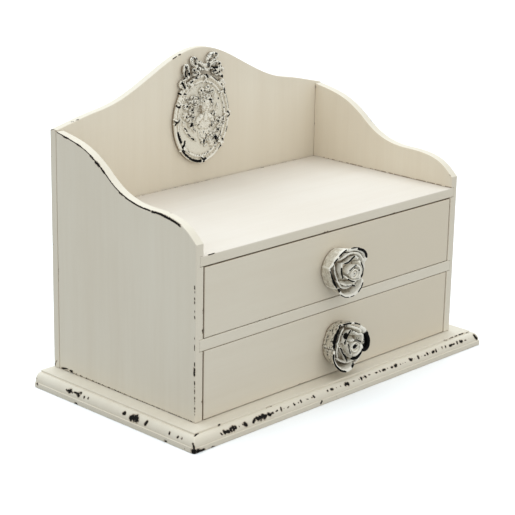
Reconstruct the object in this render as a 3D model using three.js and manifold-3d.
// A small painted jewellery chest: a carcass of thin boards on a moulded base, a display shelf
// with a shaped gallery behind it, two inset drawers with cast rose knobs, and a cast medallion.
// Millimetres, +Z up, the front faces -Y, and the origin is under the middle of the base board.
import * as THREE from 'three';
import { mergeVertices } from 'three/addons/utils/BufferGeometryUtils.js';
import Module from 'manifold-3d';

const wasm = await Module();
wasm.setup();

// Clearances
const glueGap = 0.3; // between pieces that are glued or screwed together
const drawerSideGap = 0.8; // each side of a drawer
const drawerTopGap = 1;
const drawerRestGap = 0.3; // under a drawer
const drawerStopGap = 0.4; // behind a closed drawer, before the back panel stops it
const cutOverrun = 2; // how far every cutting body runs past the face that it opens

// Carcass boards
const bodyWidth = 300;
const sideDepth = 154.6;
const sideThickness = 7.4;
const backThickness = 6.4;
const shelfThickness = 7.8;
const shelfTopHeight = 126.4; // above the base board
const dividerThickness = 9;
const dividerTopHeight = 63.4; // above the base board
const dadoDepth = 3.5; // shelf and divider ends are let into the side panels

// Base board with its moulded edge on the front and both sides
const baseThickness = 12.8;
const baseTopOverhang = 12.5; // from the body to the top edge of the moulding
const baseFootOverhang = 19; // from the body to the foot of the moulding
const baseRearOverhang = 1;
const baseStepHeight = 1.5; // small square step under the top face
const baseStepWidth = 0.9;
const baseFootHeight = 4.2; // square fillet at the foot
const baseQuirkWidth = 0.7; // step between the round and the foot
const baseRoundSteps = 6;

// Side panel outline: a rounded shoulder, a level stretch and an S-shaped rise to the back
const sideFrontHeight = 135.6; // above the base board
const sideLevelHeight = 152.1;
const sideRearHeight = 191.5;
const shoulderDepth = 48.8;
const shoulderStartShares = [0.21, 0.57]; // first handle, of the shoulder's depth and rise
const shoulderEndShare = 0.67; // last handle, of the shoulder's depth
const riseMiddleShares = [0.517, 0.556]; // steepest point, of the rise's depth and height
const riseSteepnessShare = 1.8; // slope there, of the rise's mean slope
const riseRearSlopeShare = 0.38; // slope at the back, of the rise's mean slope
const riseHandleShares = [0.313, 0.092, 0.125, 0.277]; // handle lengths, of the rise's depth

// Back panel outline, from the middle of the crest to either end
const crestHeight = 239.4; // above the base board
const crestEndHeight = 192.2;
const crestSteepShares = [0.345, 0.63]; // steep point, of half the width and the crest's rise
const crestHollowShares = [0.717, 0.195]; // foot of the crest
const crestTopHandleShare = 0.127; // handle lengths, of half the width
const crestSteepHandleShares = [0.098, 0.141];
const crestFootHandleShares = [0.146, 0.1];
const crestEndHandleShare = 0.1;
const crestSteepSlopeShare = 1.59; // slopes, of the crest's mean slope
const crestFootSlopeShare = 0.5;
const crestEndSlopeShare = 0.7;
const outlineSteps = 12; // straight steps along each curved stretch of an outline

// Drawer boxes
const drawerFrontThickness = 9;
const drawerSideThickness = 5;
const drawerBackThickness = 5;
const drawerBottomThickness = 3;
const drawerBoxDrop = 8; // the box sides end this far below the top of the drawer front
const drawerFloorLift = 3.5; // height of the bottom panel above the lower edge
const grooveDepth = 2.5; // the bottom panel is let into the front, the sides and the back
const liningThickness = 1.2;
const liningMargin = 0.5; // between the felt and the walls

// Rose knob and its fixing
const knobRadius = 20;
const knobDepth = 22;
const knobTurns = { upper: 0, lower: -47 }; // degrees, seen from the front
const knobOffsets = { upper: [0, -3.5], lower: [3.5, -1.2] }; // from the middle of the drawer front
const screwRadius = 2;
const screwHeadRadius = 4;
const screwHeadHeight = 2.6;
const screwReach = 10; // length of shank inside the knob
const screwClearance = 0.3;
const washerRadius = 5;
const washerThickness = 1;
const recessArmShare = 0.55; // cross recess, of the head's radius
const recessWidthShare = 0.2;
const recessDepthShare = 0.55; // of the head's height
const roundSteps = 16; // sides of screws, washers and bores

// Screws that hold the base board to the side panels from beneath
const baseScrewRadius = 1.5;
const baseScrewHeadRadius = 3.1;
const baseScrewHeadHeight = 2.2;
const baseScrewLength = 26;
const baseScrewTipLength = 3;
const baseScrewSink = 0.4; // head below the base's underside
const baseScrewDepthShares = [0.17, 0.83]; // along the side panel

// Cast medallion on the back panel
const medallionHalfWidth = 31;
const medallionHalfHeight = 36.7;
const medallionCentreHeight = 180.3; // above the base board
const medallionOffset = 1.2; // to the right of the middle
const fieldThickness = 1.8;
const ringWidth = 5.2;
const ringHeight = 4.4;
const ringShoulderShare = 0.25; // rounded-off width at each edge of the ring
const ringSteps = 40;
const reliefHeight = 6.2;

// Measures worked out from the ones above
const bodyHalf = bodyWidth / 2;
const innerHalf = bodyHalf - sideThickness;
const backFront = sideDepth + glueGap; // front face of the back panel, from the chest's front
const bodyDepth = backFront + backThickness;
const baseDepth = baseFootOverhang + bodyDepth + baseRearOverhang;
const frontPlane = baseFootOverhang - baseDepth / 2; // the chest's front in the part's own frame
const panelFoot = baseThickness + glueGap; // lower edge of the boards that stand on the base
const shelfTop = baseThickness + shelfTopHeight;
const shelfUnderside = shelfTop - shelfThickness;
const dividerTop = baseThickness + dividerTopHeight;
const dividerUnderside = dividerTop - dividerThickness;
const dadoHalf = innerHalf + dadoDepth;
const drawerDepth = backFront - drawerStopGap;
const drawerHalf = innerHalf - drawerSideGap;

// Finishes
const creamPaint = new THREE.MeshStandardMaterial({ color: 0xd8d0bf, roughness: 0.62, metalness: 0 });
const castPaint = new THREE.MeshStandardMaterial({ color: 0xdcd8cc, roughness: 0.5, metalness: 0 });
const bareBoard = new THREE.MeshStandardMaterial({ color: 0xc9b48f, roughness: 0.8, metalness: 0 });
const felt = new THREE.MeshStandardMaterial({ color: 0xcbbfae, roughness: 0.95, metalness: 0 });
const zincSteel = new THREE.MeshStandardMaterial({ color: 0xb9bbbd, roughness: 0.35, metalness: 1 });

// Solids: closed geometries go in, joined or cut geometries come out
function toSolid(geometry) {
  const bare = geometry.clone();
  bare.deleteAttribute('normal');
  bare.deleteAttribute('uv');
  const merged = mergeVertices(bare);
  const vertProperties = new Float32Array(merged.attributes.position.array);
  const triVerts = new Uint32Array(merged.index.array);
  return new wasm.Manifold(new wasm.Mesh({ numProp: 3, vertProperties, triVerts }));
}

function toGeometry(solid) {
  const mesh = solid.getMesh();
  const geometry = new THREE.BufferGeometry();
  geometry.setAttribute('position', new THREE.BufferAttribute(new Float32Array(mesh.vertProperties), 3));
  geometry.setIndex(new THREE.BufferAttribute(new Uint32Array(mesh.triVerts), 1));
  return geometry;
}

function cut(geometry, tools) {
  return toGeometry(tools.reduce((solid, tool) => solid.subtract(toSolid(tool)), toSolid(geometry)));
}

function join(geometries) {
  return toGeometry(geometries.map(toSolid).reduce((solid, other) => solid.add(other)));
}

function boxBetween(low, high) {
  const size = low.map((value, axis) => high[axis] - value);
  const middle = low.map((value, axis) => (value + high[axis]) / 2);
  return new THREE.BoxGeometry(...size).translate(...middle);
}

// A body of revolution about Z from a closed profile of [radius, height] points
function turned(profile, steps = roundSteps) {
  const points = profile.map(([radius, height]) => new THREE.Vector2(radius, height));
  return new THREE.LatheGeometry(points, steps).rotateX(Math.PI / 2);
}

// A closed shell between two grids of points of the same size, each a list of rows
function shellBetween(outer, inner) {
  const rows = outer.length;
  const columns = outer[0].length;
  const positions = [...outer.flat(), ...inner.flat()].flat();
  const faces = [];
  const at = (side, row, column) => (side * rows + row) * columns + column;
  const quad = (a, b, c, d) => faces.push(a, b, c, a, c, d);
  for (let row = 0; row < rows - 1; row += 1) {
    for (let column = 0; column < columns - 1; column += 1) {
      quad(at(0, row, column), at(0, row, column + 1), at(0, row + 1, column + 1), at(0, row + 1, column));
      quad(at(1, row, column), at(1, row + 1, column), at(1, row + 1, column + 1), at(1, row, column + 1));
    }
    quad(at(0, row, 0), at(0, row + 1, 0), at(1, row + 1, 0), at(1, row, 0));
    const last = columns - 1;
    quad(at(0, row + 1, last), at(0, row, last), at(1, row, last), at(1, row + 1, last));
  }
  for (let column = 0; column < columns - 1; column += 1) {
    const top = rows - 1;
    quad(at(0, 0, column + 1), at(0, 0, column), at(1, 0, column), at(1, 0, column + 1));
    quad(at(0, top, column), at(0, top, column + 1), at(1, top, column + 1), at(1, top, column));
  }
  const geometry = new THREE.BufferGeometry();
  geometry.setAttribute('position', new THREE.Float32BufferAttribute(positions, 3));
  geometry.setIndex(faces);
  return geometry;
}

function named(name, geometry, material) {
  const mesh = new THREE.Mesh(geometry, material);
  mesh.name = name;
  return mesh;
}

// Base board: rectangles of growing size from the top face down the moulding to the foot
function makeBaseBoard() {
  const roundTop = baseThickness - baseStepHeight;
  const roundInner = baseTopOverhang + baseStepWidth;
  const roundOuter = baseFootOverhang - baseQuirkWidth;
  const profile = [[baseTopOverhang, baseThickness], [baseTopOverhang, roundTop]];
  for (let step = 0; step <= baseRoundSteps; step += 1) {
    const angle = (step / baseRoundSteps) * (Math.PI / 2);
    const overhang = roundInner + (roundOuter - roundInner) * Math.sin(angle);
    const height = baseFootHeight + (roundTop - baseFootHeight) * Math.cos(angle);
    profile.push([overhang, height]);
  }
  profile.push([baseFootOverhang, baseFootHeight], [baseFootOverhang, 0]);
  const rear = baseDepth / 2;
  const positions = profile.flatMap(([overhang, height]) => {
    const side = bodyHalf + overhang;
    const front = frontPlane - overhang;
    const corners = [[-side, front], [side, front], [side, rear], [-side, rear]];
    return corners.flatMap((corner) => [...corner, height]);
  });
  const faces = [0, 1, 2, 0, 2, 3];
  for (let ring = 0; ring < profile.length - 1; ring += 1) {
    for (let corner = 0; corner < 4; corner += 1) {
      const upper = ring * 4 + corner;
      const upperNext = ring * 4 + ((corner + 1) % 4);
      faces.push(upper, upper + 4, upperNext + 4, upper, upperNext + 4, upperNext);
    }
  }
  const foot = (profile.length - 1) * 4;
  faces.push(foot, foot + 2, foot + 1, foot, foot + 3, foot + 2);
  const board = new THREE.BufferGeometry();
  board.setAttribute('position', new THREE.Float32BufferAttribute(positions, 3));
  board.setIndex(faces);
  return cut(board, baseScrewHoles());
}

function baseScrewPlaces() {
  const x = bodyHalf - sideThickness / 2;
  return [-x, x].flatMap((side) => (
    baseScrewDepthShares.map((share) => [side, frontPlane + share * sideDepth])
  ));
}

function baseScrewHoles(side = 0) {
  return baseScrewPlaces()
    .filter(([x]) => side === 0 || Math.sign(x) === side)
    .map(([x, y]) => baseScrewBody(screwClearance, cutOverrun).translate(x, y, 0));
}

// A countersunk wood screw standing on its head, grown by a clearance to make its own hole
function baseScrewBody(clearance, overrun) {
  const shank = baseScrewRadius + clearance;
  const head = baseScrewHeadRadius + clearance;
  const headFoot = overrun > 0 ? -overrun : baseScrewSink;
  const headTop = baseScrewSink + baseScrewHeadHeight + clearance;
  const tip = baseScrewSink + baseScrewLength + clearance;
  const profile = [[0, headFoot], [head, headFoot]];
  if (overrun > 0) {
    profile.push([head, baseScrewSink + clearance]);
  }
  profile.push([shank, headTop], [shank, tip - baseScrewTipLength], [0, tip]);
  return turned(profile);
}

function crossRecess(headRadius, depth) {
  const arm = headRadius * recessArmShare;
  const half = (headRadius * recessWidthShare) / 2;
  return [
    boxBetween([-arm, -half, -cutOverrun], [arm, half, depth]),
    boxBetween([-half, -arm, -cutOverrun], [half, arm, depth]),
  ];
}

function makeBaseScrew() {
  const depth = baseScrewSink + baseScrewHeadHeight * recessDepthShare;
  return cut(baseScrewBody(0, 0), crossRecess(baseScrewHeadRadius, depth));
}

// Side panel, drawn in depth and height, then stood up with its thickness along X
function sideOutline() {
  const riseDepth = sideDepth - shoulderDepth;
  const rise = sideRearHeight - sideLevelHeight;
  const meanSlope = rise / riseDepth;
  const shoulderRise = sideLevelHeight - sideFrontHeight;
  const level = baseThickness + sideLevelHeight;
  const front = baseThickness + sideFrontHeight;
  const rear = baseThickness + sideRearHeight;
  const middleDepth = shoulderDepth + riseMiddleShares[0] * riseDepth;
  const middleHeight = level + riseMiddleShares[1] * rise;
  const steep = riseSteepnessShare * meanSlope;
  const flat = riseRearSlopeShare * meanSlope;
  const handles = riseHandleShares.map((share) => share * riseDepth);
  const shape = new THREE.Shape();
  shape.moveTo(0, panelFoot);
  shape.lineTo(sideDepth, panelFoot);
  shape.lineTo(sideDepth, rear);
  shape.bezierCurveTo(
    sideDepth - handles[3], rear - flat * handles[3],
    middleDepth + handles[2], middleHeight + steep * handles[2],
    middleDepth, middleHeight,
  );
  shape.bezierCurveTo(
    middleDepth - handles[1], middleHeight - steep * handles[1],
    shoulderDepth + handles[0], level,
    shoulderDepth, level,
  );
  shape.bezierCurveTo(
    shoulderDepth * (1 - shoulderEndShare), level,
    shoulderDepth * shoulderStartShares[0], front + shoulderRise * shoulderStartShares[1],
    0, front,
  );
  return shape;
}

function makeSidePanel(side) {
  const options = { depth: sideThickness, bevelEnabled: false, curveSegments: outlineSteps };
  const panel = new THREE.ExtrudeGeometry(sideOutline(), options);
  panel.rotateX(Math.PI / 2).rotateZ(Math.PI / 2); // depth along Y, height along Z, thickness along X
  panel.translate(side < 0 ? -bodyHalf : innerHalf, frontPlane, 0);
  const dados = [[shelfUnderside, shelfTop], [dividerUnderside, dividerTop]].map(([low, high]) => {
    const inner = side * (innerHalf - cutOverrun);
    const floor = side * dadoHalf;
    return boxBetween(
      [Math.min(inner, floor), frontPlane - cutOverrun, low - glueGap],
      [Math.max(inner, floor), frontPlane + sideDepth + cutOverrun, high + glueGap],
    );
  });
  return cut(panel, [...dados, ...baseScrewHoles(side)]);
}

// Back panel, drawn in width and height, behind the ends of the side panels
function makeBackPanel() {
  const top = baseThickness + crestHeight;
  const end = baseThickness + crestEndHeight;
  const rise = top - end;
  const meanSlope = rise / bodyHalf;
  const steep = [crestSteepShares[0] * bodyHalf, end + crestSteepShares[1] * rise];
  const hollow = [crestHollowShares[0] * bodyHalf, end + crestHollowShares[1] * rise];
  const steepSlope = crestSteepSlopeShare * meanSlope;
  const footSlope = crestFootSlopeShare * meanSlope;
  const endSlope = crestEndSlopeShare * meanSlope;
  const topHandle = crestTopHandleShare * bodyHalf;
  const steepHandles = crestSteepHandleShares.map((share) => share * bodyHalf);
  const footHandles = crestFootHandleShares.map((share) => share * bodyHalf);
  const endHandle = crestEndHandleShare * bodyHalf;
  const curves = [
    [
      [0, top], [topHandle, top],
      [steep[0] - steepHandles[0], steep[1] + steepSlope * steepHandles[0]], steep,
    ],
    [
      steep, [steep[0] + steepHandles[1], steep[1] - steepSlope * steepHandles[1]],
      [hollow[0] - footHandles[0], hollow[1] + footSlope * footHandles[0]], hollow,
    ],
    [
      hollow, [hollow[0] + footHandles[1], hollow[1] - footSlope * footHandles[1]],
      [bodyHalf - endHandle, end + endSlope * endHandle], [bodyHalf, end],
    ],
  ];
  const shape = new THREE.Shape();
  shape.moveTo(-bodyHalf, panelFoot);
  shape.lineTo(bodyHalf, panelFoot);
  shape.lineTo(bodyHalf, end);
  [...curves].reverse().forEach(([start, startHandle, endHandlePoint]) => {
    shape.bezierCurveTo(...endHandlePoint, ...startHandle, ...start);
  });
  curves.forEach(([, startHandle, endHandlePoint, finish]) => {
    shape.bezierCurveTo(
      -startHandle[0], startHandle[1],
      -endHandlePoint[0], endHandlePoint[1],
      -finish[0], finish[1],
    );
  });
  const options = { depth: backThickness, bevelEnabled: false, curveSegments: outlineSteps };
  return new THREE.ExtrudeGeometry(shape, options)
    .rotateX(Math.PI / 2)
    .translate(0, frontPlane + bodyDepth, 0);
}

// Shelf and divider: plain boards let into the side panels, stopped by the back panel
function makeCrossBoard(underside, top) {
  const half = dadoHalf - glueGap;
  return boxBetween([-half, frontPlane, underside], [half, frontPlane + sideDepth, top]);
}

// Drawers are built with the origin at the front of the opening's floor
function makeDrawer(name, floorHeight, ceilingHeight) {
  const drawer = new THREE.Group();
  drawer.position.set(0, frontPlane, floorHeight);
  const foot = drawerRestGap;
  const frontTop = ceilingHeight - floorHeight - drawerTopGap;
  const boxTop = frontTop - drawerBoxDrop;
  const boxFront = drawerFrontThickness + glueGap;
  const knobSide = knobOffsets[name][0];
  const knobHeight = (foot + frontTop) / 2 + knobOffsets[name][1];
  const innerSide = drawerHalf - drawerSideThickness;
  const innerBack = drawerDepth - drawerBackThickness;
  const panelFloor = foot + drawerFloorLift;
  const panelTop = panelFloor + drawerBottomThickness;
  const grooveSide = innerSide + grooveDepth;
  const groove = boxBetween(
    [-grooveSide, drawerFrontThickness - grooveDepth, panelFloor - glueGap],
    [grooveSide, innerBack + grooveDepth, panelTop + glueGap],
  );
  const bore = turned([
    [0, -cutOverrun],
    [screwRadius + screwClearance, -cutOverrun],
    [screwRadius + screwClearance, drawerFrontThickness + cutOverrun],
    [0, drawerFrontThickness + cutOverrun],
  ]).rotateX(-Math.PI / 2).translate(knobSide, 0, knobHeight);
  const front = boxBetween([-drawerHalf, 0, foot], [drawerHalf, drawerFrontThickness, frontTop]);
  drawer.add(named(`${name}_drawer_front`, cut(front, [groove, bore]), creamPaint));
  [['left', -1], ['right', 1]].forEach(([word, side]) => {
    const edges = [side * innerSide, side * drawerHalf].sort((a, b) => a - b);
    const board = boxBetween([edges[0], boxFront, foot], [edges[1], drawerDepth, boxTop]);
    drawer.add(named(`${name}_drawer_${word}_side`, cut(board, [groove]), bareBoard));
  });
  const back = boxBetween(
    [-innerSide + glueGap, innerBack, foot],
    [innerSide - glueGap, drawerDepth, boxTop],
  );
  drawer.add(named(`${name}_drawer_back`, cut(back, [groove]), bareBoard));
  const bottom = boxBetween(
    [-grooveSide + glueGap, drawerFrontThickness - grooveDepth + glueGap, panelFloor],
    [grooveSide - glueGap, innerBack + grooveDepth - glueGap, panelTop],
  );
  drawer.add(named(`${name}_drawer_bottom`, bottom, bareBoard));
  const liningFoot = panelTop + glueGap;
  const lining = boxBetween(
    [-innerSide + liningMargin, drawerFrontThickness + liningMargin, liningFoot],
    [innerSide - liningMargin, innerBack - liningMargin, liningFoot + liningThickness],
  );
  drawer.add(named(`${name}_drawer_lining`, lining, felt));
  const fixing = new THREE.Group();
  fixing.position.set(knobSide, 0, knobHeight);
  fixing.rotation.x = Math.PI / 2; // local Z runs out of the drawer front
  const knob = named(`${name}_rose_knob`, makeRoseKnob(), castPaint);
  knob.rotation.z = THREE.MathUtils.degToRad(knobTurns[name]);
  knob.position.z = glueGap;
  fixing.add(knob);
  fixing.add(named(`${name}_knob_washer`, makeWasher(), zincSteel));
  fixing.add(named(`${name}_knob_screw`, makeKnobScrew(), zincSteel));
  drawer.add(fixing);
  return drawer;
}

// Washer and screw sit behind the drawer front, below zero on the knob's axis
function makeWasher() {
  const top = -drawerFrontThickness - glueGap;
  const foot = top - washerThickness;
  const bore = screwRadius + screwClearance;
  return turned([[bore, foot], [washerRadius, foot], [washerRadius, top], [bore, top], [bore, foot]]);
}

function makeKnobScrew() {
  const headTop = -drawerFrontThickness - glueGap - washerThickness - glueGap;
  const headFoot = headTop - screwHeadHeight;
  const screw = turned([
    [0, headFoot], [screwHeadRadius, headFoot], [screwHeadRadius, headTop],
    [screwRadius, headTop], [screwRadius, screwReach], [0, screwReach],
  ]);
  const recess = crossRecess(screwHeadRadius, screwHeadHeight * recessDepthShare);
  return cut(screw, recess.map((arm) => arm.translate(0, 0, headFoot)));
}

// Rose knob: a cup with rings of petals, each a thin curved shell with a rolled rim.
// Turns and spreads are in degrees; radii and heights are shares of the knob's radius and depth.
const cupProfileShares = [[0, 0], [0.66, 0], [0.78, 0.12], [0.85, 0.32], [0.8, 0.46], [0.4, 0.62], [0, 0.66]];
const petalThicknessShare = 0.09; // of the knob's radius
const petalRows = 4;
const petalColumns = 6;
const petalRings = [
  {
    foot: [0.7, 0.12], rim: [0.93, 0.66], bulge: 0.06, roll: 0.07, drop: 0.14, lap: 0.03,
    petals: [[132, 78], [205, 76], [278, 84], [352, 66], [62, 82]],
  },
  {
    foot: [0.5, 0.4], rim: [0.68, 0.82], bulge: 0.05, roll: 0.04, drop: 0.1, lap: 0.03,
    petals: [[100, 96], [190, 96], [275, 96], [5, 96]],
  },
  {
    foot: [0.3, 0.5], rim: [0.44, 0.92], bulge: 0.04, roll: 0.02, drop: 0.08, lap: 0.03,
    petals: [[50, 128], [165, 128], [285, 128]],
  },
  {
    foot: [0.12, 0.5], rim: [0.22, 0.98], bulge: 0.02, roll: 0, drop: 0.05, lap: 0.04,
    petals: [[20, 190], [200, 190]],
  },
];

function makePetal(ring, turn, spread) {
  const thickness = petalThicknessShare * knobRadius;
  const layer = (inset) => {
    const rows = [];
    for (let row = 0; row <= petalRows; row += 1) {
      const climb = row / petalRows;
      const points = [];
      for (let column = 0; column <= petalColumns; column += 1) {
        const across = (column / petalColumns) * 2 - 1;
        const angle = THREE.MathUtils.degToRad(turn + (across * spread) / 2);
        const rimHeight = ring.rim[1] - ring.drop * across ** 2;
        const radiusShare = THREE.MathUtils.lerp(ring.foot[0], ring.rim[0], climb)
          + ring.bulge * Math.sin(Math.PI * climb) + ring.roll * climb ** 3 + ring.lap * across;
        const radius = radiusShare * knobRadius - inset;
        const height = THREE.MathUtils.lerp(ring.foot[1], rimHeight, climb) * knobDepth;
        points.push([radius * Math.cos(angle), radius * Math.sin(angle), height]);
      }
      rows.push(points);
    }
    return rows;
  };
  return shellBetween(layer(0), layer(thickness));
}

function makeRoseKnob() {
  const cup = turned(
    cupProfileShares.map(([radius, height]) => [radius * knobRadius, height * knobDepth]),
    petalRings.length * petalColumns,
  );
  const petals = petalRings.flatMap((ring) => (
    ring.petals.map(([turn, spread]) => makePetal(ring, turn, spread))
  ));
  const bore = turned([
    [0, -cutOverrun],
    [screwRadius + screwClearance, -cutOverrun],
    [screwRadius + screwClearance, screwReach + screwClearance],
    [0, screwReach + screwClearance],
  ]);
  return cut(join([cup, ...petals]), [bore]);
}

// Medallion: an oval field in a raised ring with ribbon ties, a bow and roses on top, and a
// lady's bust among roses. Built face up on Z = 0, then stood against the back panel.
// Places are shares of the half width and half height; sizes are shares of the half width.
const tieTurns = [15, 55, 125, 165, 205, 248, 292, 335]; // degrees round the ring
const tieSizeShares = [0.26, 0.05, 0.05]; // length, width, and height above the ring
const tieSlant = 32; // degrees either side of square to the ring
const bowShares = [
  [0.4, 1.24, 0.22, 0.17, -25], [0.63, 1.08, 0.24, 0.15, -60], // loops: place, size and slant
  [0.72, 0.83, 0.22, 0.1, -50], [0.15, 1.16, 0.2, 0.08, -60], // leaves
];
const roseShares = [
  [-0.3, 1.06, 0.15], [0.34, 1.06, 0.15], [0, 1.08, 0.14], [-0.52, 0.93, 0.12], [0.54, 0.93, 0.12],
];
const bustShares = [
  [0.02, -0.42, 0.46, 0.26, 0.62], [0.06, -0.14, 0.15, 0.24, 0.6], [0.1, 0.2, 0.24, 0.26, 1],
  [0.02, 0.36, 0.33, 0.2, 0.85], [-0.3, 0.26, 0.23, 0.2, 0.75], [-0.42, -0.05, 0.2, 0.24, 0.62],
  [0.5, -0.12, 0.18, 0.24, 0.6], [0.36, -0.55, 0.2, 0.14, 0.6], [-0.3, -0.52, 0.22, 0.12, 0.5],
];
const beadSteps = [12, 8];

function makeOval(x, y, halfLength, halfWidth, height, degrees = 0) {
  return new THREE.SphereGeometry(1, ...beadSteps)
    .scale(halfLength, halfWidth, height)
    .rotateZ(THREE.MathUtils.degToRad(degrees))
    .translate(x, y, 0);
}

function makeMedallion() {
  const wide = medallionHalfWidth;
  const tall = medallionHalfHeight;
  const stretch = wide / tall;
  const ringInner = tall - ringWidth;
  const ringShoulder = ringWidth * ringShoulderShare;
  const fieldRadius = tall - ringShoulder;
  const fieldEdge = [[fieldRadius, 0], [fieldRadius, fieldThickness]];
  const field = turned([[0, 0], ...fieldEdge, [0, fieldThickness]], ringSteps);
  const ring = turned([
    [ringInner, 0], [tall, 0], [tall, ringHeight / 2], [tall - ringShoulder, ringHeight],
    [ringInner + ringShoulder, ringHeight], [ringInner, ringHeight / 2], [ringInner, 0],
  ], ringSteps);
  const frameParts = [field.scale(stretch, 1, 1), ring.scale(stretch, 1, 1)];
  const [tieLength, tieWidth, tieRise] = tieSizeShares.map((share) => share * wide);
  const ties = tieTurns.flatMap((turn) => [-tieSlant, tieSlant].map((slant) => {
    const angle = THREE.MathUtils.degToRad(turn);
    const middle = tall - ringWidth / 2;
    const top = ringHeight + tieRise;
    return boxBetween([-tieLength / 2, -tieWidth, 0], [tieLength / 2, tieWidth, top])
      .rotateZ(angle + THREE.MathUtils.degToRad(slant))
      .translate(middle * stretch * Math.cos(angle), middle * Math.sin(angle), 0);
  }));
  const bow = [-1, 1].flatMap((side) => bowShares.map(([x, y, long, broad, slant]) => (
    makeOval(side * x * wide, y * tall, long * wide, broad * wide, ringHeight, side * slant)
  )));
  const roses = roseShares.map(([x, y, size]) => (
    makeOval(x * wide, y * tall, size * wide, size * wide, reliefHeight)
  ));
  const bust = bustShares.map(([x, y, broad, high, rise]) => (
    makeOval(x * wide, y * tall, broad * wide, high * tall, rise * reliefHeight)
  ));
  const reach = 2 * tall;
  const below = boxBetween([-reach, -reach, -reach], [reach, reach, 0]);
  return cut(join([...frameParts, ...ties, ...bow, ...roses, ...bust]), [below]);
}

function placedMedallion() {
  const medallion = named('cast_medallion', makeMedallion(), castPaint);
  medallion.rotation.x = Math.PI / 2; // face towards the front
  medallion.position.set(
    medallionOffset,
    frontPlane + backFront - glueGap,
    baseThickness + medallionCentreHeight,
  );
  return medallion;
}

// Assembly
const chest = new THREE.Group();
chest.add(named('base_board', makeBaseBoard(), creamPaint));
chest.add(named('left_side_panel', makeSidePanel(-1), creamPaint));
chest.add(named('right_side_panel', makeSidePanel(1), creamPaint));
chest.add(named('back_panel', makeBackPanel(), creamPaint));
chest.add(named('display_shelf', makeCrossBoard(shelfUnderside, shelfTop), creamPaint));
chest.add(named('drawer_divider', makeCrossBoard(dividerUnderside, dividerTop), creamPaint));
chest.add(placedMedallion());
baseScrewPlaces().forEach(([x, y], index) => {
  const screw = named(`base_screw_${index + 1}`, makeBaseScrew(), zincSteel);
  screw.position.set(x, y, 0);
  chest.add(screw);
});
chest.add(makeDrawer('upper', dividerTop, shelfUnderside));
chest.add(makeDrawer('lower', baseThickness, dividerUnderside));

export default chest;
